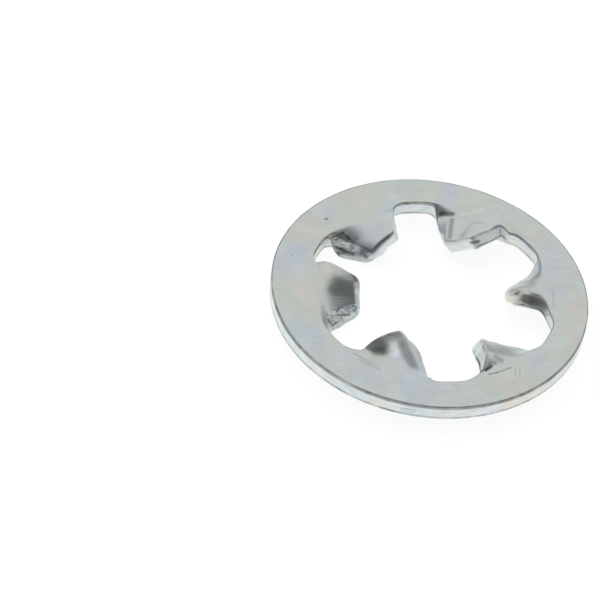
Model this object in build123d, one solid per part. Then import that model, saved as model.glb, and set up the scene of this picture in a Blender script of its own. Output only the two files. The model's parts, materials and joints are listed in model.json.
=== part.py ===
from build123d import *
import os
from math import cos, radians, sin, sqrt, tan

# Internal-tooth lock washer: a flat spring-steel ring with twisted teeth pointing at the screw.
# The origin is on the screw's axis, half way through the sheet, with +Z up and one tooth along +X.
# All lengths are in mm and all angles in degrees.

# Driving dimensions of the punched blank
rim_diameter = 8.6
screw_hole_diameter = 4.3  # across the tooth tips, for an M4 or No. 8 screw
sheet_thickness = 0.45
gap_root_diameter = 6.72  # where the gaps between the teeth end in the ring
tooth_count = 6
gap_width = 1.25
gap_corner_radius = 0.16
tip_corner_radius = 0.22
rim_offset = 0.08  # the rim is blanked this far off the screw's axis, away from the first tooth
rim_roll = 0.05  # edge of the rim, rolled over by the blanking die

# Driving dimensions of the set that the forming dies give each tooth
tooth_twist = 36.0  # about the tooth's own centre line, reached near its tip
bend_setback = 0.01  # flat sheet left between a gap's root corners and the start of the bend
twist_length = 0.75  # radial length over which the twist builds up
pressed_width = 0.38  # strip along the lowered edge's top face that the upper die pressed harder
pressed_slope = 17.0  # slope of that strip against the rest of its face
section_count = 6  # sections that carry the loft through the twist
punch_allowance = 0.1  # extra length that each tooth is formed with, before the hole trims it
near = 0.05  # an edge whose middle is this close to a circle counts as being on it

# Sizes that follow from them
root_radius = gap_root_diameter / 2
tip_radius = screw_hole_diameter / 2
tooth_pitch = 360 / tooth_count
half_pitch = radians(tooth_pitch / 2)
corner_along_gap = sqrt((root_radius - gap_corner_radius) ** 2 - (gap_width / 2 - gap_corner_radius) ** 2)
corner_end = corner_along_gap * cos(half_pitch) + gap_width / 2 * sin(half_pitch)  # measured along the tooth
bend_start = corner_end - bend_setback
tooth_angles = PolarLocations(0, tooth_count)


def half_width(x):
    """Half the width of a tooth, x from the screw's axis, between two parallel-sided gaps."""
    return x * tan(half_pitch) - gap_width / 2 / cos(half_pitch)


def formed_share(x):
    """How much of its set the tooth has at x: it starts at once at the bend and eases off inwards."""
    still_flat = 1 - min((bend_start - x) / twist_length, 1)
    return 1 - still_flat**2


def reach(edge):
    """How far an edge's middle lies from the screw's axis."""
    middle = edge.center()
    return sqrt(middle.X**2 + middle.Y**2)


def flat_ring():
    """The ring, with the stub of each tooth as far in as the sheet stays flat."""
    rim = Pos(X=-rim_offset) * Circle(rim_diameter / 2)
    stub = Polygon(
        (bend_start, -half_width(bend_start)),
        (root_radius, -half_width(root_radius)),
        (root_radius, half_width(root_radius)),
        (bend_start, half_width(bend_start)),
        align=None,
    )
    ring = extrude(rim - Circle(root_radius) + tooth_angles * stub, sheet_thickness / 2, both=True)
    upright_edges = ring.edges().filter_by(Axis.Z)
    root_corners = upright_edges.filter_by(lambda edge: abs(reach(edge) - root_radius) < near)
    ring = fillet(root_corners, gap_corner_radius)
    rim_edges = ring.edges().filter_by(lambda edge: edge.length > 2 * rim_diameter)
    return fillet(rim_edges, rim_roll)


def tooth_section(x):
    """The sheet's section square to the tooth at x, turned, its top pressed down along the lowered edge."""
    half, top = half_width(x), sheet_thickness / 2
    crease = half - pressed_width
    pressed = pressed_width * tan(radians(pressed_slope)) * formed_share(x)
    outline = Polygon(
        (-half, -top),
        (half, -top),
        (half, top - pressed),
        (crease, top),
        (-half, top),
        align=None,
    )
    across_tooth = Plane(origin=(x, 0, 0), x_dir=(0, 1, 0), z_dir=(1, 0, 0))
    return across_tooth * Rot(Z=-tooth_twist * formed_share(x)) * outline


def twisted_tooth():
    """One tooth from the flat stub inwards, cut to the hole's radius, with rounded tip corners."""
    inner_end = sqrt(tip_radius**2 - half_width(tip_radius) ** 2) - punch_allowance
    step = (bend_start - inner_end) / (section_count - 1)
    blade = loft([tooth_section(bend_start - step * i) for i in range(section_count)])
    tooth = blade - Cylinder(tip_radius, rim_diameter)
    tip_ends = tooth.edges().filter_by(lambda edge: abs(reach(edge) - tip_radius) < near).sort_by(Axis.Y)
    return fillet([tip_ends[0], tip_ends[-1]], tip_corner_radius)


def lock_washer():
    """The whole washer, one piece of sheet."""
    return flat_ring() + tooth_angles * twisted_tooth()


os.makedirs("parts", exist_ok=True)
export_step(lock_washer(), "parts/lock_washer.step")
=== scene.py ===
"""Toothed lock washer: the visual model of one stamped, zinc-plated washer, and the table it lies on."""

import json
from itertools import pairwise
from math import asin, atan2, cos, hypot, pi, radians, sin, sqrt

import bmesh
import bpy
from mathutils import Matrix, Vector


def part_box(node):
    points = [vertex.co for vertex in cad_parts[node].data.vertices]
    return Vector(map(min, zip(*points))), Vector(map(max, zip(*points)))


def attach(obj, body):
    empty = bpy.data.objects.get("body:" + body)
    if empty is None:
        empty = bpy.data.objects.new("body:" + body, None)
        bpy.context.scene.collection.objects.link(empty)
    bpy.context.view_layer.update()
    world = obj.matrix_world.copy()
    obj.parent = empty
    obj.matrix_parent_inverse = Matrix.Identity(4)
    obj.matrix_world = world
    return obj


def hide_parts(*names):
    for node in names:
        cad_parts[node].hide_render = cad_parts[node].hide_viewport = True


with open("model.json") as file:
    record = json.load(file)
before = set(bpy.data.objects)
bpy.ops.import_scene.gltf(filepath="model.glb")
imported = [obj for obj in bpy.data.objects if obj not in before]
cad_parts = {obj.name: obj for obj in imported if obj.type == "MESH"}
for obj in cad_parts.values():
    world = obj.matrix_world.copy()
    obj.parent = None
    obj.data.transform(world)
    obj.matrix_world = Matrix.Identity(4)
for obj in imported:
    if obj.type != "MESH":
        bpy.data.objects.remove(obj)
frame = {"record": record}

bl_info = {
    "name": "Toothed Lock Washer",
    "version": (1, 0, 0),
    "blender": (4, 5, 0),
    "location": "3D View > Sidebar > Lock Washer",
    "description": "Models an internal-tooth lock washer in zinc-plated spring steel on a pale table",
    "category": "Add Mesh",
}

MM = 0.001
NODE = "lock_washer"
CAD_LOW, CAD_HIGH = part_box(NODE)
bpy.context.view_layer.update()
SCREW_HOLE = frame["record"]["mounts"][0]

# The blank is modelled as rows of quads about the screw's axis, one tooth and its share of the ring at a time.
TEETH = 6
PITCH = 2 * pi / TEETH
SIDE_COLUMNS = 6  # from a tooth's centre line to its edge
GAP_COLUMNS = 3  # from the tooth's edge to the middle of the gap
COLUMNS = 2 * TEETH * (SIDE_COLUMNS + GAP_COLUMNS)
COLUMN_PITCH = 2 * pi / COLUMNS
TOOTH_ROWS = (0, 0.1, 0.2, 0.31, 0.41, 0.5, 0.58, 0.66, 0.73, 0.79, 0.85, 0.905, 0.955, 1)  # hole to gap root
RING_ROWS = (0, 0.06, 0.2, 0.5, 0.86, 1)  # shares of the way from gap root to rim
HAIR = 0.003 * MM  # closer than this, two points are the same one
SEAM = 0.999 * PITCH / 2  # a face at a greater bearing than this lies on the seam to the next sector
UPRIGHT_TO_LEVEL = 0.9  # least difference between the normals' Z where a wall meets a level face
STEEP = 0.5  # a face whose normal has less Z than this belongs to a wall
CORNER_DRAW = 0.8  # share of a tip corner's rounding that is drawn, because smoothing adds the rest
FLANGE_CREASE = 2 / 3  # how far out the flange's crease lies, as a share of the strip's on the other side
EDGE_SEGMENTS = 2  # across each rolled edge
SMOOTH_LEVELS = 2
TABLE_SIDES = 64
FACE_SLOT, WALL_SLOT, EDGE_SLOT = range(3)  # the washer's material slots
CRUMPLED = "crumpled"  # vertex group of the places that the die crumpled

# Limits of the patterns in the plate
NOISE_MEAN = 0.5
NOISE_RANGE = {"From Min": 0.3, "From Max": 0.7}  # where nearly all of a noise's values lie
TINT_START, TINT_END = 0.35, 0.65  # noise values of the first and the last tint
STROKE_CORE = 0.2  # share of a stroke's half width that has its full level
FOLD_LINE_REACH = 0.1  # how far from its mean a noise is beside a fold line
FOLD_SHADE_LEVEL, CREST_LIGHT_LEVEL = 0.65, 1.4  # painted shade of the crumpled plate in its folds and painted light between them, as how light each leaves it
CRUMPLED_BELOW, SMOOTH_ABOVE = 0.8, 1.15  # of a stroke's level and a noise together
DULL_ROUGHNESS, DULL_METALLIC = 0.6, 0.1  # of plate that is crumpled or scuffed
RELIEF = 0.006 * MM  # depth of the patterns' relief
PALE_BELOW, DARK_ABOVE = -0.2 * MM, 0.1 * MM  # heights of the rolled edges between which they pass from painted light below to painted shade above
PALEST_INSIDE, PLAIN_OUTSIDE = 2.6 * MM, 3.1 * MM  # distances of the rolled edges from the screw's axis: a painted highlight inside, none outside

# Limits of the light tent's fades, as the cosine to its brightest side and as the Z of a direction
NEAR_SIDE, LIT_SIDE = -0.35, 0.3
SKIRT_TOP, DIM_FROM = 0.3, 0.5

# Marks of wear and of the dies, and painted shade and painted light on the teeth's folds, dents, hollows and cut
# walls. Each is a stroke: its two ends in mm, its half width in mm, and how light it leaves the plate, where 1 changes
# nothing. A crumple or a scuff is full at level 0.
FACE_MARKS_AND_PAINTED_SHADING = (
    # pit and speck in the ring
    ((-2.59, 2.72, 0.22), (-2.57, 2.72, 0.22), 0.07, 0.4),
    ((-3.69, 1.33, 0.22), (-3.66, 1.32, 0.22), 0.05, 0.8),
    # painted shade and painted light along the crumples of the tooth at 120 degrees
    ((-2.47, 2.1, 0.12), (-2.17, 2.25, 0.14), 0.05, 0.5),
    ((-2.14, 2.23, 0.12), (-1.99, 2.13, 0.03), 0.07, 0.4),
    ((-2.4, 2.08, 0.05), (-2.17, 2.17, 0.09), 0.04, 0.55),
    ((-2.31, 2.04, -0.01), (-1.95, 2.03, -0.05), 0.04, 1.6),
    ((-2.34, 1.99, -0.09), (-2.01, 1.97, -0.11), 0.04, 1.5),
    ((-2.42, 1.97, -0.08), (-2.24, 1.94, -0.16), 0.05, 0.5),
    ((-2.24, 1.94, -0.16), (-1.9, 1.82, -0.22), 0.07, 0.35),
    ((-1.92, 2.08, 0.0), (-1.43, 1.73, -0.06), 0.04, 0.6),
    ((-1.85, 1.88, -0.14), (-1.59, 1.7, -0.2), 0.03, 0.75),
    # painted shade in the hollow along its tip
    ((-1.38, 1.72, -0.06), (-0.97, 1.94, 0.3), 0.12, 0.6),
    # painted shade on the rolled corner, and the rubbed tip, of the tooth at 180 degrees
    ((-2.21, 0.32, 0.51), (-2.1, 0.12, 0.43), 0.06, 0.6),
    ((-2.09, 0.05, 0.37), (-2.07, -0.08, 0.23), 0.14, 1.3),
    ((-2.07, -0.08, 0.23), (-2.05, -0.4, -0.04), 0.14, 1.5),
    # its rubbed lowered edge
    ((-2.72, -0.93, -0.25), (-2.17, -0.58, -0.2), 0.17, 1.5),
    # rubbed lowered edge of the tooth at 120 degrees
    ((-2.2, 1.79, -0.34), (-1.4, 1.64, -0.33), 0.14, 1.5),
    # painted shade along the crumples of the tooth at 180 degrees
    ((-2.98, -0.67, 0.08), (-2.91, -0.91, -0.08), 0.035, 0.5),
    ((-2.92, -0.85, -0.04), (-2.81, -0.92, -0.18), 0.04, 0.45),
    ((-2.81, -0.92, -0.18), (-2.69, -0.83, -0.18), 0.04, 0.4),
    ((-2.66, -0.57, -0.03), (-2.59, -0.45, 0.02), 0.035, 0.5),
    ((-2.69, -0.66, -0.06), (-2.49, -0.62, -0.11), 0.03, 0.6),
    ((-2.51, -0.44, 0.01), (-2.33, -0.43, -0.01), 0.035, 0.5),
    ((-2.45, -0.6, -0.1), (-2.3, -0.6, -0.12), 0.035, 0.55),
    ((-2.21, -0.37, 0.01), (-2.11, -0.42, -0.04), 0.04, 0.45),
    ((-2.11, -0.42, -0.04), (-2.18, -0.49, -0.08), 0.04, 0.45),
    # painted shade along the wrinkles, and painted shade and a painted highlight in the hollow, of the tooth at 240
    # degrees
    ((-2.48, -2.31, 0.22), (-1.9, -2.79, 0.2), 0.05, 0.78),
    ((-2.32, -2.57, 0.22), (-1.84, -2.93, 0.22), 0.05, 0.83),
    ((-1.87, -2.31, 0.25), (-1.72, -2.33, 0.28), 0.2, 0.6),
    ((-1.38, -2.19, 0.3), (-1.38, -2.3, 0.3), 0.28, 1.5),
    ((-1.08, -2.1, 0.2), (-0.9, -2.6, 0.1), 0.3, 0.52),
    ((-1.12, -2.94, 0.22), (-0.85, -2.28, 0.08), 0.03, 0.87),
    # painted shade on the step, painted shade and a painted highlight in the dent, and painted shade along the ridges
    # of the tooth at 300 degrees
    ((1.04, -3.13, 0.23), (1.26, -3.08, 0.23), 0.04, 0.5),
    ((1.26, -3.08, 0.23), (1.66, -2.91, 0.23), 0.04, 0.6),
    ((0.97, -3.01, 0.24), (1.12, -2.9, 0.25), 0.06, 0.3),
    ((1.3, -2.59, 0.3), (1.43, -2.65, 0.24), 0.14, 0.65),
    ((1.19, -2.81, 0.27), (1.2, -2.83, 0.26), 0.07, 1.5),
    ((0.89, -2.32, 0.44), (1.12, -2.62, 0.4), 0.03, 0.75),
    ((1.48, -2.27, 0.18), (1.87, -2.36, 0.14), 0.04, 0.85),
    ((1.87, -2.36, 0.14), (2.23, -2.29, 0.18), 0.04, 0.85),
    # tool marks beside it
    ((1.76, -2.93, 0.22), (1.74, -3.19, 0.22), 0.04, 0.85),
    ((1.88, -2.95, 0.22), (1.86, -3.2, 0.22), 0.04, 0.85),
    # tip of the tooth at 0 degrees, and a smear beside it
    ((2.18, -0.07, 0.24), (2.39, -0.1, 0.3), 0.06, 0.6),
    ((3.28, -0.11, 0.23), (3.21, -0.68, 0.23), 0.05, 0.85),
    # streaks in the ring beside the tooth at 60 degrees
    ((1.18, 2.84, 0.22), (1.9, 3.06, 0.22), 0.05, 1.1),
    ((1.6, 3.05, 0.22), (2.34, 3.22, 0.22), 0.05, 1.1),
    # painted shade on the pressed edge of the tooth at 60 degrees
    ((0.7, 3.07, 0.05), (0.98, 2.94, 0.15), 0.12, 0.3),
    ((0.94, 2.75, 0.13), (0.8, 2.15, 0.07), 0.11, 0.6),
)
CRUMPLES = (
    # strip of the tooth at 120 degrees
    ((-2.35, 2.0, 0.05), (-1.85, 1.85, -0.1), 0.3, 0.2),
    # strip of the tooth at 180 degrees
    ((-2.87, -0.8, -0.04), (-2.2, -0.48, -0.05), 0.26, 0.0),
)
SCUFFS = (
    # tip of the tooth at 180 degrees
    ((-2.09, 0.05, 0.37), (-2.07, -0.08, 0.23), 0.12, 0.0),
    ((-2.07, -0.08, 0.23), (-2.05, -0.4, -0.04), 0.12, 0.0),
    # its lowered edge
    ((-2.72, -0.93, -0.25), (-2.17, -0.58, -0.2), 0.15, 0.0),
    # lowered edge of the tooth at 120 degrees
    ((-2.2, 1.79, -0.34), (-1.4, 1.64, -0.33), 0.12, 0.0),
)
WALL_MARKS_AND_PAINTED_SHADING = (
    # pit in the rim
    ((1.01, -4.16, -0.16), (1.03, -4.15, -0.16), 0.06, 0.3),
    # scratches along the rim
    ((-1.43, -4.08, 0.0), (-1.06, -4.19, 0.03), 0.03, 0.65),
    ((-1.43, -4.08, -0.08), (-1.06, -4.19, -0.07), 0.03, 0.65),
    # painted shade on the cut wall of the tooth at 0 degrees, and a dark line at its root
    ((2.42, -0.5, 0.33), (3.0, -0.66, 0.33), 0.33, 0.23),
    ((3.05, -0.6, 0.26), (3.01, -0.91, 0.12), 0.05, 0.5),
    # tip, tear, painted light on the cut, and root of the tooth at 60 degrees
    ((1.31, 1.7, 0.3), (1.52, 1.75, 0.28), 0.08, 0.35),
    ((2.15, 2.06, 0.44), (2.17, 2.02, 0.2), 0.03, 0.4),
    ((1.65, 1.83, 0.33), (2.0, 1.97, 0.33), 0.3, 1.3),
    ((2.31, 2.14, -0.09), (2.56, 2.1, -0.2), 0.05, 0.45),
)


def linear(hex_colour):
    """An sRGB hex colour as linear red, green and blue."""
    channels = [int(hex_colour[i : i + 2], 16) / 255 for i in (1, 3, 5)]
    return [c / 12.92 if c <= 0.04045 else ((c + 0.055) / 1.055) ** 2.4 for c in channels]


def length(name, description, default):
    """A size property in metres."""
    return bpy.props.FloatProperty(name=name, description=description, default=default, unit="LENGTH", precision=5)


def angle(name, description, default):
    """An angle property, its default given in degrees."""
    return bpy.props.FloatProperty(name=name, description=description, default=radians(default), subtype="ANGLE")


def radiance(name, description, default):
    """A brightness property, 1 where a white surface shows as white."""
    return bpy.props.FloatProperty(name=name, description=description, default=default, min=0)


def colour(name, description, hex_colour):
    """A colour property, its default given as sRGB hex."""
    return bpy.props.FloatVectorProperty(
        name=name, description=description, default=linear(hex_colour), subtype="COLOR", size=3, min=0, max=1
    )


def per_tooth(name, description, default, **kind):
    """One value for each tooth, counter-clockwise from the tooth on +X."""
    return bpy.props.FloatVectorProperty(name=name, description=description, default=default, size=TEETH, **kind)


def tooth_lengths(name, description, *values):
    """A length for each tooth, its default given in mm."""
    return per_tooth(name, description, [value * MM for value in values], unit="LENGTH", precision=5)


def tooth_angles(name, description, *values):
    """An angle for each tooth, its default given in degrees."""
    return per_tooth(name, description, [radians(value) for value in values], unit="ROTATION")


class WasherSizes(bpy.types.PropertyGroup):
    """Sizes of the stamped washer."""

    rim_radius: length("Rim radius", "Outside radius of the ring", (CAD_HIGH.x - CAD_LOW.x) / 2)
    rim_centre: length("Rim centre", "Place of the rim's centre along X", (CAD_HIGH.x + CAD_LOW.x) / 2)
    hole_radius: length("Hole radius", "Radius to the tooth tips", SCREW_HOLE["dims"]["r_mm"] * MM)
    root_radius: length("Gap root radius", "Where the gaps end in the ring", 3.36 * MM)
    gap_width: length("Gap width", "Width of the gap between two teeth", 1.25 * MM)
    root_corner: length("Root corner", "Radius of the punch's corners at the gap roots", 0.2 * MM)
    sheet: length("Sheet", "Thickness of the spring steel", 0.45 * MM)
    tip_roll: length("Tip roll", "Rounding of the top edge round the tooth tips", 0.1 * MM)
    edge_roll: length("Edge roll", "Radius that blanking and plating leave on the other edges", 0.024 * MM)

    # The set that the forming dies gave each tooth
    bends: tooth_lengths(
        "Bends", "Place along each tooth, from the axis, where it starts to turn", 3.1, 3.1, 3.1, 3.1, 3.0, 3.1
    )
    bend_runs: tooth_lengths(
        "Bend runs", "Length over which each tooth turns to its full set", 0.42, 0.42, 0.5, 0.45, 0.35, 0.4
    )
    raised_runs: tooth_lengths(
        "Raised runs", "Length over which each raised edge turns to its full set", 0.3, 0.2, 0.5, 0.45, 0.35, 0.3
    )
    skew: length("Skew", "How much sooner the lowered edge starts to turn than the middle", 0.05 * MM)
    middle: length("Middle", "Width over which one edge's set passes into the other's", 0.4 * MM)
    raised: tooth_lengths(
        "Raised", "How far each tooth's raised edge is turned up near its root", 0.42, 0.42, 0.25, 0.4, 0.28, 0.42
    )
    raised_tips: tooth_lengths(
        "Raised tips", "How far the raised edge is turned up at the tip", 0.32, 0.3, 0.27, 0.32, 0.35, 0.36
    )
    lowered: tooth_lengths(
        "Lowered", "How far each tooth's lowered edge is turned down near its root", 0.4, 0.22, 0.37, 0.4, 0.25, 0.33
    )
    lowered_tips: tooth_lengths(
        "Lowered tips", "How far the lowered edge is turned down at the tip", 0.37, 0.29, 0.4, 0.36, 0.3, 0.31
    )
    folds: tooth_angles("Folds", "Further slope of the pressed strip beyond its crease", 0, 18, 50, 16, 12, 0)
    flanges: tooth_angles("Flanges", "Lesser slope of the face beside the raised edge", -22, 18, 0, 24, 0, 0)
    spread_down: tooth_lengths(
        "Spread, lowered", "How far the die spread each lowered edge near its root", 0.06, 0.06, 0.34, 0.18, 0.15, 0.26
    )
    spread_down_tips: tooth_lengths("Spread, lowered tips", "The same at the tip", 0.03, 0.03, 0.17, 0.13, 0.15, 0.13)
    spread_up: tooth_lengths(
        "Spread, raised", "How far the die spread each raised edge near its root", -0.13, 0, -0.08, 0, -0.22, -0.36
    )
    spread_runs: per_tooth(
        "Spread runs",
        "Share of the tooth's length over which the spread builds up from the root",
        (0.15, 0.15, 0.5, 0.15, 0.15, 0.15),
    )

    # The strip that the die pressed in along the lowered edge, and where it crumpled
    strip_start: length("Strip start", "Radius where the pressed strip starts", 3.22 * MM)
    strip_run: length("Strip run", "Radial length of the step at the strip's root end", 0.2 * MM)
    strip_depth: length("Strip depth", "How far the strip is pressed in at the lowered edge", 0.1 * MM)
    strip_roots: tooth_lengths(
        "Strip roots", "Strip's crease from the centre line, at the gap root", 0.7, 0.62, 0.98, 0.95, 0.5, 0.7
    )
    strip_tips: tooth_lengths(
        "Strip tips", "Strip's crease from the centre line, at the tip", 0.36, 0.38, 0.4, 0.33, 0.2, 0.36
    )
    crumple_starts: tooth_lengths(
        "Crumple starts", "Radius inside which the die crumpled each strip, 0 for none", 0, 0, 3.15, 3.15, 0, 0
    )
    crumple_margin: length("Crumple margin", "How far in from its sides a strip is crumpled in full", 0.1 * MM)
    crumple_size: length("Crumple size", "Distance from one crumple to the next", 0.14 * MM)
    crumple_height: length("Crumple height", "Height of the highest crumples", 0.07 * MM)

    # The tips
    tip_run: length("Tip run", "Length over which a tip is brought to its shape", 0.5 * MM)
    tip_lengths: tooth_lengths(
        "Tip lengths", "How far each tip stands in from the hole", 0.1, 0.02, 0.03, 0.16, 0.2, 0.01
    )
    tip_corners: tooth_lengths("Tip corners", "Radius of each tip's corners", 0.42, 0.2, 0.2, 0.25, 0.36, 0.38)
    tip_droops: tooth_lengths("Tip droops", "How far the top of each tip is worn down", 0.16, 0, 0, 0, 0, 0.04)


class StageSettings(bpy.types.PropertyGroup):
    """Table, light and camera."""

    table: colour("Table", "White table top", "#F4F4F4")
    table_radius: length("Table radius", "Radius of the table top", 2.0)
    table_glow: radiance("Table glow", "Radiance of the table as the camera and the metal see it", 1.2)
    glow_share: bpy.props.FloatProperty(
        name="Glow share",
        description="How far the glow stands in for the lit table",
        default=0.7,
        subtype="FACTOR",
        min=0,
        max=1,
    )
    table_light: radiance("Table light", "Radiance of the lamp above", 0.6)
    lamp_size: length("Lamp size", "Side of the square lamp above", 1.0)
    lamp_height: length("Lamp height", "Height of the lamp over the washer", 1.0)
    bright: radiance("Bright", "Radiance of the tent behind the washer", 0.85)
    dim: radiance("Dim", "Radiance above and on the camera's side", 0.16)
    skirt: radiance("Skirt", "Radiance low on the camera's side", 0.4)
    light_swing: angle("Light swing", "How far to the left of straight behind the tent is brightest", 20)
    heading: angle("Camera heading", "Direction from the washer to the camera, from +X", -102.44)
    elevation: angle("Camera elevation", "Height of the camera over the table, as an angle", 45.19)
    roll: angle("Camera roll", "Tilt of the camera about its own axis", 8.34)
    distance: length("Camera distance", "From the camera to the point that it looks at", 79.8 * MM)
    aim_x: length("Aim X", "Point that the camera looks at", -3.66 * MM)
    aim_y: length("Aim Y", "Point that the camera looks at", -0.36 * MM)
    aim_z: length("Aim Z", "Point that the camera looks at", 0.225 * MM)
    lens: bpy.props.FloatProperty(
        name="Lens", description="Focal length on a 36 mm sensor", default=180, unit="CAMERA"
    )


def turn(turn_angle, axis, centre=(0, 0, 0)):
    """Turns the selection about an axis through the centre, counter-clockwise seen against the axis."""
    sense = -1 if bpy.app.background else 1  # with no window the operator turns the other way
    bpy.ops.transform.rotate(value=sense * turn_angle, orient_axis=axis, center_override=centre)


def select_vertices(washer, wanted):
    """Selects the vertices that pass the test."""
    bpy.ops.mesh.select_mode(type="VERT")
    mesh = bmesh.from_edit_mesh(washer.data)
    for vertex in mesh.verts:
        vertex.select = wanted(vertex)
    mesh.select_flush_mode()
    bmesh.update_edit_mesh(washer.data)


def select_edges(washer, wanted):
    """Selects the edges that pass the test."""
    bpy.ops.mesh.select_mode(type="EDGE")
    bpy.ops.mesh.select_all(action="DESELECT")
    mesh = bmesh.from_edit_mesh(washer.data)
    for edge in mesh.edges:
        edge.select = wanted(edge)
    bmesh.update_edit_mesh(washer.data)


def select_faces(washer, wanted):
    """Selects the faces that pass the test."""
    bpy.ops.mesh.select_mode(type="FACE")
    mesh = bmesh.from_edit_mesh(washer.data)
    for face in mesh.faces:
        face.select = wanted(face)
    mesh.select_flush_mode()
    bmesh.update_edit_mesh(washer.data)


def places(washer):
    """Where each vertex is now, by its index."""
    return [vertex.co.copy() for vertex in bmesh.from_edit_mesh(washer.data).verts]


def reach(place):
    """Distance from the screw's axis."""
    return hypot(place.x, place.y)


def bearing(place):
    """Angle about the screw's axis, from the tooth's centre line."""
    return atan2(place.y, place.x)


def tooth_rows(sizes):
    """Radii of the rows from the tooth tips to the gap roots."""
    return [sizes.hole_radius + share * (sizes.root_radius - sizes.hole_radius) for share in TOOTH_ROWS]


def ring_rows(sizes):
    """Radii of the rows from the gap roots to the rim."""
    return [sizes.root_radius + share * (sizes.rim_radius - sizes.root_radius) for share in RING_ROWS]


def tipward(sizes, radius):
    """How far towards the tip a row lies, from 0 at the gap roots to 1 at the hole."""
    return (sizes.root_radius - radius) / (sizes.root_radius - sizes.hole_radius)


def half_width(sizes, radius):
    """Half the width of a tooth at that radius, with the rounded corners of the gap roots."""
    into_corner = max(radius - sizes.root_radius + sizes.root_corner, 0)
    flare = sizes.root_corner - sqrt(sizes.root_corner**2 - min(into_corner, sizes.root_corner) ** 2)
    return radius * sin(PITCH / 2 - asin((sizes.gap_width / 2 - flare) / radius))


def crease_place(sizes, number, radius):
    """Distance of the pressed strip's crease from the tooth's centre line."""
    root, tip = sizes.strip_roots[number], sizes.strip_tips[number]
    return root + (tip - root) * tipward(sizes, radius)


def column_place(sizes, number, radius, column):
    """Distance of a column from the tooth's centre line, with the middle column on the crease."""
    crease, edge, middle = crease_place(sizes, number, radius), half_width(sizes, radius), SIDE_COLUMNS / 2
    if column <= middle:
        return crease * column / middle
    return crease + (edge - crease) * (column - middle) / middle


def column_bearing(sizes, number, radius, column):
    """Bearing of a column where it crosses a row, columns counted from the tooth's centre line."""
    radius = min(radius, sizes.root_radius)
    if column <= SIDE_COLUMNS:
        return asin(column_place(sizes, number, radius, column) / radius)
    edge = asin(half_width(sizes, radius) / radius)
    return edge + (PITCH / 2 - edge) * (column - SIDE_COLUMNS) / GAP_COLUMNS


def add_flat_sector(sizes):
    """One tooth and its share of the ring, as a flat sheet of quads with the tooth along +X."""
    bpy.ops.object.select_all(action="DESELECT")
    bpy.ops.mesh.primitive_circle_add(vertices=COLUMNS, radius=sizes.hole_radius, fill_type="NOTHING")
    washer = bpy.context.object
    bpy.ops.object.mode_set(mode="EDIT")
    bpy.ops.mesh.select_all(action="SELECT")
    for inner, outer in pairwise(tooth_rows(sizes) + ring_rows(sizes)[1:]):
        bpy.ops.mesh.extrude_region_move()
        bpy.ops.transform.resize(value=(outer / inner, outer / inner, 1), center_override=(0, 0, 0))
    tooth_edge = (SIDE_COLUMNS + 0.1) * COLUMN_PITCH  # a little past the tooth's last column

    def outside_sector(face):
        middle = face.calc_center_median()
        turned = abs(bearing(middle))
        return turned > PITCH / 2 or (turned > tooth_edge and reach(middle) < sizes.root_radius)

    select_faces(washer, outside_sector)
    bpy.ops.mesh.delete(type="FACE")
    return washer


def slide_columns(washer, sizes, number):
    """Slides each vertex along its row, to the walls of the gaps and the crease."""
    for index, place in enumerate(places(washer)):
        column = round(bearing(place) / COLUMN_PITCH)
        side = -1 if column < 0 else 1
        wanted = side * column_bearing(sizes, number, reach(place), abs(column))
        select_vertices(washer, lambda vertex: vertex.index == index)
        turn(wanted - bearing(place), "Z")


def thicken(washer, sizes):
    """Gives the flat sector its thickness, open where it meets its neighbours."""
    bpy.ops.mesh.select_all(action="SELECT")
    bpy.ops.mesh.extrude_region_move(TRANSFORM_OT_translate={"value": (0, 0, sizes.sheet)})
    bpy.ops.mesh.select_all(action="SELECT")
    bpy.ops.transform.translate(value=(0, 0, -sizes.sheet / 2))
    bpy.ops.mesh.normals_make_consistent(inside=False)
    select_faces(washer, lambda face: abs(bearing(face.calc_center_median())) > SEAM)
    bpy.ops.mesh.delete(type="FACE")


def on_outline(edge):
    """Whether an edge of the flat sector is where its top or bottom meets a wall."""
    levels = [abs(face.normal.z) for face in edge.link_faces]
    return len(levels) == 2 and abs(levels[0] - levels[1]) > UPRIGHT_TO_LEVEL


def roll_tip(washer, sizes):
    """Rounds the top edge round the tooth's tip."""

    def on_tip(edge):
        return on_outline(edge) and all(v.co.z > 0 and reach(v.co) < sizes.hole_radius + HAIR for v in edge.verts)

    select_edges(washer, on_tip)
    bpy.ops.mesh.bevel(offset=sizes.tip_roll, segments=EDGE_SEGMENTS, material=FACE_SLOT)


def weigh_edges(washer):
    """Marks the outline, whose edges are rolled over once the washer is whole."""
    select_edges(washer, on_outline)
    bpy.ops.transform.edge_bevelweight(value=1.0)


def add_slots(washer, plates):
    """Slots for the rolled faces, the blanked walls and the edges between them."""
    for plate in plates:
        washer.data.materials.append(plate)
    select_faces(washer, lambda face: abs(face.normal.z) < STEEP)
    washer.active_material_index = WALL_SLOT
    bpy.ops.object.material_slot_assign()


def eased(share):
    """A share from 0 to 1 with a soft start and a soft end."""
    share = min(max(share, 0), 1)
    return share * share * (3 - 2 * share)


def formed_share(sizes, number, place):
    """How much of its set a tooth has at a place: it sets in at once at the bend and eases off inwards."""
    side = place.y / half_width(sizes, reach(place))
    start = sizes.bends[number] + sizes.skew * side
    run = sizes.bend_runs[number]
    run += (sizes.raised_runs[number] - run) * max(-side, 0)
    still_flat = 1 - min(max((start - place.x) / run, 0), 1)
    return 1 - still_flat**2


def travel(roots, tips, number, near_tip):
    """How far an edge of a tooth moves up or down, from its value at the root to its value at the tip."""
    return roots[number] + (tips[number] - roots[number]) * near_tip


def edge_angle(rise, inner, outer, fold):
    """Slope that, with a further fold after the inner width, moves the edge by the rise."""
    level, upright = inner + outer * cos(fold), outer * sin(fold)
    return asin(rise / hypot(level, upright)) - atan2(upright, level)


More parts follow.
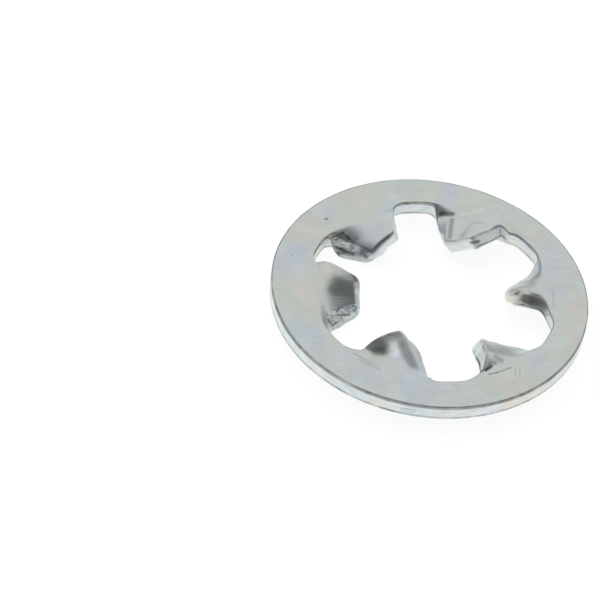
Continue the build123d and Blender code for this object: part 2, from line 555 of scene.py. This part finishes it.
def spread(sizes, number, place):
    """How far the dies moved a place on a tooth sideways, most at the edge near its root."""
    near_tip = tipward(sizes, reach(place))
    crease, edge = crease_place(sizes, number, reach(place)), half_width(sizes, reach(place))
    share = max((abs(place.y) - crease) / (edge - crease), 0) * eased(near_tip / sizes.spread_runs[number])
    if place.y > 0:
        return share * travel(sizes.spread_down, sizes.spread_down_tips, number, near_tip)
    return -share * (1 - near_tip) * sizes.spread_up[number]


def press_strip(washer, sizes, number):
    """Presses in the strip along the lowered edge of the top face."""
    for index, place in enumerate(places(washer)):
        crease = crease_place(sizes, number, reach(place))
        if place.z < 0 or reach(place) > sizes.strip_start or place.y <= crease:
            continue
        share = (place.y - crease) / (half_width(sizes, reach(place)) - crease)
        share *= eased((sizes.strip_start - reach(place)) / sizes.strip_run)
        select_vertices(washer, lambda vertex: vertex.index == index)
        bpy.ops.transform.translate(value=(0, 0, -share * sizes.strip_depth))


def form_tip(washer, sizes, number, flat):
    """Brings the tooth's tip to its length and rounds its corners."""
    for index, place in enumerate(flat):
        near_tip = 1 - (reach(place) - sizes.hole_radius) / sizes.tip_run
        if near_tip <= 0:
            continue
        corner = sizes.tip_corners[number]
        into_corner = max(abs(place.y) - half_width(sizes, reach(place)) + corner, 0)
        drawn = corner - sqrt(max(corner**2 - into_corner**2, 0))
        droop = sizes.tip_droops[number] * near_tip**2 if place.z > 0 else 0
        select_vertices(washer, lambda vertex: vertex.index == index)
        outward = (drawn * CORNER_DRAW - sizes.tip_lengths[number]) * near_tip
        bpy.ops.transform.translate(value=(outward, 0, -droop))


def set_place(sizes, number, place):
    """Turns the selection at a place on the flat tooth as the dies do, past each crease and then as a whole."""
    formed = formed_share(sizes, number, place)
    near_tip, edge = tipward(sizes, reach(place)), half_width(sizes, reach(place))
    crease = crease_place(sizes, number, reach(place))
    flange_crease = crease * FLANGE_CREASE
    fold, flange = sizes.folds[number] * formed, -sizes.flanges[number] * formed
    if place.y > crease:
        turn(-fold, "X", (0, crease, 0))
    if place.y < -flange_crease:
        turn(-flange, "X", (0, -flange_crease, 0))
    rise = travel(sizes.raised, sizes.raised_tips, number, near_tip) * formed
    drop = travel(sizes.lowered, sizes.lowered_tips, number, near_tip) * formed
    up = edge_angle(rise, flange_crease, edge - flange_crease, flange)
    down = edge_angle(drop, crease, edge - crease, fold)
    turn(-up - (down - up) * eased(place.y / sizes.middle + 0.5), "X")
    bpy.ops.transform.translate(value=(0, spread(sizes, number, place), 0))


def form_tooth(washer, sizes, number):
    """Gives one tooth the set of the forming dies."""
    press_strip(washer, sizes, number)
    flat = places(washer)
    for index, place in enumerate(flat):
        if reach(place) < sizes.root_radius - HAIR:
            select_vertices(washer, lambda vertex: vertex.index == index)
            set_place(sizes, number, place)
    form_tip(washer, sizes, number, flat)


def mark_crumples(washer, sizes, number):
    """Notes where the die crumpled a tooth's strip, as weights that fade out towards all its sides."""
    group = washer.vertex_groups.new(name=CRUMPLED)
    washer.vertex_groups.active_index = group.index
    for index, place in enumerate(places(washer)):
        radius = reach(place)
        crease, edge = crease_place(sizes, number, radius), half_width(sizes, radius)
        across = min(place.y - crease + sizes.crumple_margin, edge - place.y) / sizes.crumple_margin
        along = min(sizes.crumple_starts[number] - radius, radius - sizes.hole_radius) / sizes.crumple_margin
        if place.z <= 0 or min(across, along) <= 0:
            continue
        select_vertices(washer, lambda vertex: vertex.index == index)
        bpy.context.scene.tool_settings.vertex_group_weight = min(across, along, 1)
        bpy.ops.object.vertex_group_assign()


def add_sector(sizes, plates, number):
    """One formed tooth and its share of the ring, turned to its place."""
    sector = add_flat_sector(sizes)
    slide_columns(sector, sizes, number)
    thicken(sector, sizes)
    add_slots(sector, plates)
    roll_tip(sector, sizes)
    weigh_edges(sector)
    mark_crumples(sector, sizes, number)
    form_tooth(sector, sizes, number)
    bpy.ops.mesh.select_all(action="SELECT")
    turn(number * PITCH, "Z")
    bpy.ops.object.mode_set(mode="OBJECT")
    return sector


def build_washer(sizes, plates):
    """The whole washer, joined from its six sectors."""
    for sector in [add_sector(sizes, plates, number) for number in range(TEETH)]:
        sector.select_set(True)
    bpy.ops.object.join()
    return bpy.context.object


def shift_rim(washer, sizes):
    """Moves the ring's rows towards the rim's own centre, the outermost all the way."""
    for row in ring_rows(sizes)[1:]:
        select_vertices(washer, lambda vertex: abs(reach(vertex.co) - row) < HAIR)
        share = (row - sizes.root_radius) / (sizes.rim_radius - sizes.root_radius)
        bpy.ops.transform.translate(value=(share * sizes.rim_centre, 0, 0))


def finish_mesh(washer, sizes):
    """Closes the seams, rolls the edges over and smooths the sheet."""
    bpy.ops.object.mode_set(mode="EDIT")
    bpy.ops.mesh.select_all(action="SELECT")
    bpy.ops.mesh.remove_doubles(threshold=HAIR)
    shift_rim(washer, sizes)
    bpy.ops.mesh.select_all(action="SELECT")
    bpy.ops.mesh.normals_make_consistent(inside=False)
    bpy.ops.object.mode_set(mode="OBJECT")
    rolled = washer.modifiers.new("rolled edges", "BEVEL")
    rolled.limit_method = "WEIGHT"
    rolled.width = sizes.edge_roll
    rolled.material = EDGE_SLOT
    rolled.segments = EDGE_SEGMENTS
    rolled.use_clamp_overlap = False
    smooth = washer.modifiers.new("smooth sheet", "SUBSURF")
    smooth.levels = smooth.render_levels = SMOOTH_LEVELS
    crumpled = washer.modifiers.new("crumpled strips", "DISPLACE")
    crumpled.texture = bpy.data.textures.new("crumples", "CLOUDS")
    crumpled.texture.noise_scale = sizes.crumple_size
    crumpled.vertex_group = CRUMPLED
    crumpled.strength = sizes.crumple_height
    for modifier in (rolled, smooth, crumpled):
        bpy.ops.object.modifier_apply(modifier=modifier.name)
    bpy.ops.object.shade_smooth()


def feed(node, inputs):
    """Gives a node's inputs their values, or links them to the sockets that feed them."""
    for name, value in inputs.items():
        if isinstance(value, bpy.types.NodeSocket):
            node.id_data.links.new(value, node.inputs[name])
        else:
            node.inputs[name].default_value = value


def add_node(nodes, kind, inputs, output=0, **settings):
    """Adds a node with its settings and what feeds it, and gives one of its outputs, or for None the node itself."""
    node = nodes.new(kind)
    for name, value in settings.items():
        setattr(node, name, value)
    feed(node, inputs)
    return node if output is None else node.outputs[output]


def mottling(nodes, place, size, detail=2.0, draw=(1, 1, 1)):
    """Random mottling from 0 to 1, its features about that size and longer along an axis whose draw is below 1."""
    drawn = add_node(nodes, "ShaderNodeVectorMath", {0: place, 1: draw}, operation="MULTIPLY")
    return add_node(nodes, "ShaderNodeTexNoise", {"Vector": drawn, "Scale": 1 / size, "Detail": detail})


def overlaid(nodes, *levels):
    """How light several patterns or marks leave the plate, one over the other."""
    result = levels[0]
    for level in levels[1:]:
        result = add_node(nodes, "ShaderNodeMath", {0: result, 1: level}, operation="MULTIPLY")
    return result


def tints(nodes, place, size, hex_colours):
    """Patches of that size that pass softly from one colour to the next."""
    ramp = add_node(nodes, "ShaderNodeValToRGB", {"Fac": mottling(nodes, place, size)}, None)
    stops = ramp.color_ramp.elements
    while len(stops) < len(hex_colours):
        stops.new(NOISE_MEAN)
    for number, hex_colour in enumerate(hex_colours):
        stops[number].position = TINT_START + (TINT_END - TINT_START) * number / (len(hex_colours) - 1)
        stops[number].color = (*linear(hex_colour), 1)
    return ramp.outputs["Color"]


def shaded(nodes, film, mottlings, marks):
    """A film's colour under mottlings, each given with its lowest and highest level, and under marks."""
    levels = []
    for pattern, low, high in mottlings:
        span = {"Value": pattern, **NOISE_RANGE, "To Min": low, "To Max": high}
        levels.append(add_node(nodes, "ShaderNodeMapRange", span))
    level = overlaid(nodes, *levels, *marks)
    return add_node(nodes, "ShaderNodeVectorMath", {0: film, "Scale": level}, operation="SCALE")


def stroke(nodes, place, start, end, width, level):
    """The given level on the line between two points in mm, passing to 1 at the width beside it."""
    start, end = Vector(start) * MM, Vector(end) * MM
    line = end - start
    per_length = line / max(line.length_squared, HAIR**2)
    offset = add_node(nodes, "ShaderNodeVectorMath", {0: place, 1: start}, operation="SUBTRACT")
    along = add_node(nodes, "ShaderNodeVectorMath", {0: offset, 1: per_length}, "Value", operation="DOT_PRODUCT")
    share = add_node(nodes, "ShaderNodeClamp", {"Value": along})
    nearest = add_node(nodes, "ShaderNodeVectorMath", {0: line, "Scale": share}, operation="SCALE")
    away = add_node(nodes, "ShaderNodeVectorMath", {0: offset, 1: nearest}, "Value", operation="DISTANCE")
    reached = {"From Min": STROKE_CORE * width * MM, "From Max": width * MM, "To Min": level, "To Max": 1.0}
    return add_node(nodes, "ShaderNodeMapRange", {"Value": away, **reached}, interpolation_type="SMOOTHSTEP")


def strokes(nodes, place, marks):
    """How light the marks leave each place, 1 where there is none."""
    return overlaid(nodes, *(stroke(nodes, place, *mark) for mark in marks))


def crumpled_share(nodes, place, folds):
    """1 where the die crumpled the plate, its border broken up by the folds."""
    edge = add_node(nodes, "ShaderNodeMath", {0: strokes(nodes, place, CRUMPLES), 1: folds}, operation="ADD")
    limits = {"From Min": CRUMPLED_BELOW, "From Max": SMOOTH_ABOVE, "To Min": 1.0, "To Max": 0.0}
    return add_node(nodes, "ShaderNodeMapRange", {"Value": edge, **limits}, interpolation_type="SMOOTHSTEP")


def painted_fold_shading(nodes, folds, crumpled):
    """Painted shade and painted light of crumpled plate: dark on winding lines where the folds cross their mean, light
    between.
    """
    above = add_node(nodes, "ShaderNodeMath", {0: folds, 1: NOISE_MEAN}, operation="SUBTRACT")
    away = add_node(nodes, "ShaderNodeMath", {0: above}, operation="ABSOLUTE")
    limits = {"From Max": FOLD_LINE_REACH, "To Min": FOLD_SHADE_LEVEL, "To Max": CREST_LIGHT_LEVEL}
    lines = add_node(nodes, "ShaderNodeMapRange", {"Value": away, **limits})
    return add_node(nodes, "ShaderNodeMapRange", {"Value": crumpled, "To Min": 1.0, "To Max": lines})


def dull_share(nodes, place, crumpled):
    """1 where crumpling or rubbing left the plate dull and pale."""
    scuffs = {"Value": strokes(nodes, place, SCUFFS), "To Min": 1.0, "To Max": 0.0}
    scuffed = add_node(nodes, "ShaderNodeMapRange", scuffs)
    return add_node(nodes, "ShaderNodeMath", {0: crumpled, 1: scuffed}, operation="MAXIMUM")


def new_plate(name):
    """A new material, its nodes, and the place on the washer that its patterns go by."""
    material = bpy.data.materials.new(name)
    material.use_nodes = True
    nodes = material.node_tree.nodes
    return material, nodes, add_node(nodes, "ShaderNodeTexCoord", {}, "Object")


def plate_shader(nodes, shade, metallic, roughness, height, depth=RELIEF):
    """Joins a colour, a metallic share, a roughness and a relief of the given depth on the plate's shader."""
    relief = add_node(nodes, "ShaderNodeBump", {"Strength": 1.0, "Distance": depth, "Height": height})
    finish = {"Base Color": shade, "Metallic": metallic, "Roughness": roughness, "Normal": relief}
    feed(nodes["Principled BSDF"], finish)


def zinc_plate():
    """Zinc plate on the rolled sheet: a soft grey mirror, its clear passivation tinted blue, green and straw."""
    material, nodes, place = new_plate("bright zinc plate, clear passivated")
    film = tints(nodes, place, 1.4 * MM, ("#C7CFD6", "#CCD2D2", "#CAD3CB", "#D1D0CC"))
    cloud = mottling(nodes, place, 0.5 * MM)
    streaks = mottling(nodes, place, 0.05 * MM, draw=(0.1, 1, 1))  # rolling marks, along X
    grain = mottling(nodes, place, 0.05 * MM, detail=3.0)  # real plating is finer, drawn as coarse as shows
    folds = mottling(nodes, place, 0.12 * MM, draw=(0.5, 1, 1))
    # marks of wear and of the dies, with painted shade and painted light on the teeth
    marks = strokes(nodes, place, FACE_MARKS_AND_PAINTED_SHADING)
    crumpled = crumpled_share(nodes, place, folds)
    # painted shade in the crumples' folds, painted light between them
    fold_shading = painted_fold_shading(nodes, folds, crumpled)
    patterns = ((cloud, 0.96, 1.04), (streaks, 0.97, 1.03), (grain, 0.97, 1.03))
    shade = shaded(nodes, film, patterns, (marks, fold_shading))
    dull = dull_share(nodes, place, crumpled)
    bright = {"Value": mottling(nodes, place, 0.8 * MM), **NOISE_RANGE, "To Min": 0.26, "To Max": 0.36}
    bright_roughness = add_node(nodes, "ShaderNodeMapRange", bright)
    roughnesses = {"Value": dull, "To Min": bright_roughness, "To Max": DULL_ROUGHNESS}
    roughness = add_node(nodes, "ShaderNodeMapRange", roughnesses)
    metallic = add_node(nodes, "ShaderNodeMapRange", {"Value": dull, "To Min": 1.0, "To Max": DULL_METALLIC})
    plate_shader(nodes, shade, metallic, roughness, overlaid(nodes, grain, streaks, marks, fold_shading))
    return material


def sheared_plate():
    """Zinc plate on the blanked walls, paler and duller: it covers torn steel, streaked along the sheet."""
    material, nodes, place = new_plate("zinc plate on sheared wall")
    film = tints(nodes, place, 1.5 * MM, ("#EAF8FC", "#F2FAFB", "#F5F9F5", "#F9F7EF"))
    layers = mottling(nodes, place, 0.09 * MM, detail=3.0, draw=(0.25, 0.25, 2))
    # marks of the blanking, with painted shade and painted light on the teeth's cut walls
    marks = strokes(nodes, place, WALL_MARKS_AND_PAINTED_SHADING)
    shade = shaded(nodes, film, [(layers, 0.86, 1.06)], [marks])
    torn = {"Value": mottling(nodes, place, 0.3 * MM), **NOISE_RANGE, "To Min": 0.42, "To Max": 0.58}
    roughness = add_node(nodes, "ShaderNodeMapRange", torn)
    metallic = 0.7  # the torn surface scatters much of the light
    plate_shader(nodes, shade, metallic, roughness, overlaid(nodes, layers, marks))
    return material


def rolled_edge_plate():
    """The rolled-over edge between face and wall, painted as a thin dark line: painted shade, with painted light
    towards the underside and a painted highlight near the tooth tips.
    """
    material, nodes, place = new_plate("zinc plate on rolled edge, painted dark line")
    # painted shade: a film much darker than the face's, drawn as the dark line along the edge
    film = tints(nodes, place, 0.7 * MM, ("#7F8487", "#8A8F8E", "#989990"))
    wear = mottling(nodes, place, 0.4 * MM, detail=6.0)
    level = add_node(nodes, "ShaderNodeSeparateXYZ", {0: place}, "Z")
    fade = {"From Min": PALE_BELOW, "From Max": DARK_ABOVE, "To Min": 1.5, "To Max": 1.0}
    under = add_node(nodes, "ShaderNodeMapRange", {"Value": level, **fade})  # painted light, paler towards the underside
    flat = add_node(nodes, "ShaderNodeVectorMath", {0: place, 1: (1, 1, 0)}, operation="MULTIPLY")
    from_axis = add_node(nodes, "ShaderNodeVectorMath", {0: flat}, "Value", operation="LENGTH")
    paler_near_tips = {"From Min": PALEST_INSIDE, "From Max": PLAIN_OUTSIDE, "To Min": 2.0, "To Max": 1.0}
    tip = add_node(nodes, "ShaderNodeMapRange", {"Value": from_axis, **paler_near_tips})  # painted highlight, paler near the tooth tips
    shade = shaded(nodes, film, [(wear, 0.7, 1.9)], (under, tip))
    rubbed = {"Value": wear, **NOISE_RANGE, "To Min": 0.35, "To Max": 0.5}
    roughness = add_node(nodes, "ShaderNodeMapRange", rubbed)
    plate_shader(nodes, shade, 1.0, roughness, wear, depth=0.004 * MM)
    return material


class LOCKWASHER_OT_washer(bpy.types.Operator):
    """Model the washer and plate it"""

    bl_idname = "lockwasher.washer"
    bl_label = "Washer"
    bl_options = {"REGISTER", "UNDO"}

    def execute(self, context):
        sizes = context.scene.washer_sizes
        washer = build_washer(sizes, (zinc_plate(), sheared_plate(), rolled_edge_plate()))
        washer.name = washer.data.name = "washer"
        finish_mesh(washer, sizes)
        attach(washer, "root")
        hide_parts(NODE)
        return {"FINISHED"}


def add_table(settings):
    """A wide white table top under the washer, white to the camera and in the metal, with the washer's shadow."""
    bpy.ops.object.select_all(action="DESELECT")
    bpy.ops.mesh.primitive_circle_add(
        vertices=TABLE_SIDES, radius=settings.table_radius, fill_type="NGON", location=(0, 0, CAD_LOW.z)
    )
    table = bpy.context.object
    table.name = "table"
    material = bpy.data.materials.new("white table top")
    material.use_nodes = True
    nodes = material.node_tree.nodes
    nodes.clear()
    rays = add_node(nodes, "ShaderNodeLightPath", {}, None).outputs
    seen = add_node(
        nodes, "ShaderNodeMath", {0: rays["Is Camera Ray"], 1: rays["Is Glossy Ray"]}, operation="MAXIMUM"
    )
    share = add_node(nodes, "ShaderNodeMath", {0: seen, 1: settings.glow_share}, operation="MULTIPLY")
    lit = add_node(nodes, "ShaderNodeBsdfDiffuse", {"Color": (*settings.table, 1)})
    white = add_node(nodes, "ShaderNodeEmission", {"Color": (1, 1, 1, 1), "Strength": settings.table_glow})
    mix = add_node(nodes, "ShaderNodeMixShader", {0: share, 1: lit, 2: white})
    add_node(nodes, "ShaderNodeOutputMaterial", {"Surface": mix}, None)
    table.data.materials.append(material)


def add_light_tent(settings):
    """A white tent lit from behind the washer and a little from its left, dimmer above and on the camera's side."""
    world = bpy.data.worlds.new("light tent")
    bpy.context.scene.world = world
    world.use_nodes = True
    nodes = world.node_tree.nodes
    way = add_node(nodes, "ShaderNodeTexCoord", {}, "Generated")
    lit_from = settings.heading + pi + settings.light_swing
    brightest = (cos(lit_from), sin(lit_from), 0)
    facing = add_node(nodes, "ShaderNodeVectorMath", {0: way, 1: brightest}, "Value", operation="DOT_PRODUCT")
    rise = add_node(nodes, "ShaderNodeSeparateXYZ", {0: way}, "Z")
    skirt = {"From Min": SKIRT_TOP, "From Max": DIM_FROM, "To Min": settings.skirt, "To Max": settings.dim}
    near_side = add_node(nodes, "ShaderNodeMapRange", {"Value": rise, **skirt}, interpolation_type="SMOOTHSTEP")
    tent = {"From Min": NEAR_SIDE, "From Max": LIT_SIDE, "To Min": near_side, "To Max": settings.bright}
    level = add_node(nodes, "ShaderNodeMapRange", {"Value": facing, **tent}, interpolation_type="SMOOTHSTEP")
    feed(nodes["Background"], {"Color": level})


def add_table_light(settings):
    """A soft lamp above that whitens the table, too wide to glint in the metal."""
    light = bpy.data.lights.new("table light", "AREA")
    light.size, light.energy = settings.lamp_size, settings.table_light * pi * settings.lamp_size**2
    lamp = bpy.data.objects.new("table light", light)
    lamp.location = (0, 0, settings.lamp_height)
    lamp.visible_glossy = False
    bpy.context.scene.collection.objects.link(lamp)


def add_camera(settings):
    """The camera, looking down at the washer from the front."""
    heading, elevation = settings.heading, settings.elevation
    back = Vector((cos(elevation) * cos(heading), cos(elevation) * sin(heading), sin(elevation)))
    aim = Vector((settings.aim_x, settings.aim_y, settings.aim_z))
    lens = bpy.data.cameras.new("camera")
    lens.lens = settings.lens
    lens.clip_start, lens.clip_end = MM, 5 * settings.table_radius
    camera = bpy.data.objects.new("camera", lens)
    camera.rotation_mode = "QUATERNION"
    level = back.to_track_quat("Z", "Y")
    camera.rotation_quaternion = level @ Matrix.Rotation(settings.roll, 4, "Z").to_quaternion()
    camera.location = aim + back * settings.distance
    bpy.context.scene.collection.objects.link(camera)
    bpy.context.scene.camera = camera


class LOCKWASHER_OT_stage(bpy.types.Operator):
    """Lay the table, set up the soft light and place the camera"""

    bl_idname = "lockwasher.stage"
    bl_label = "Stage"
    bl_options = {"REGISTER", "UNDO"}

    def execute(self, context):
        settings = context.scene.stage_settings
        add_table(settings)
        add_camera(settings)
        add_light_tent(settings)
        add_table_light(settings)
        context.scene.view_settings.view_transform = "Standard"
        return {"FINISHED"}


class LOCKWASHER_PT_panel(bpy.types.Panel):
    """Lists the pieces"""

    bl_idname = "LOCKWASHER_PT_panel"
    bl_label = "Lock Washer"
    bl_space_type = "VIEW_3D"
    bl_region_type = "UI"
    bl_category = "Lock Washer"

    def draw(self, context):
        for operator in (LOCKWASHER_OT_washer, LOCKWASHER_OT_stage):
            self.layout.operator(operator.bl_idname)


CLASSES = (WasherSizes, StageSettings, LOCKWASHER_OT_washer, LOCKWASHER_OT_stage, LOCKWASHER_PT_panel)


def register():
    for cls in CLASSES:
        bpy.utils.register_class(cls)
    bpy.types.Scene.washer_sizes = bpy.props.PointerProperty(type=WasherSizes)
    bpy.types.Scene.stage_settings = bpy.props.PointerProperty(type=StageSettings)


def unregister():
    del bpy.types.Scene.stage_settings
    del bpy.types.Scene.washer_sizes
    for cls in reversed(CLASSES):
        bpy.utils.unregister_class(cls)


def main():
    """Builds everything in order."""
    register()
    bpy.ops.lockwasher.washer()
    bpy.ops.lockwasher.stage()


if __name__ == "__main__":
    main()
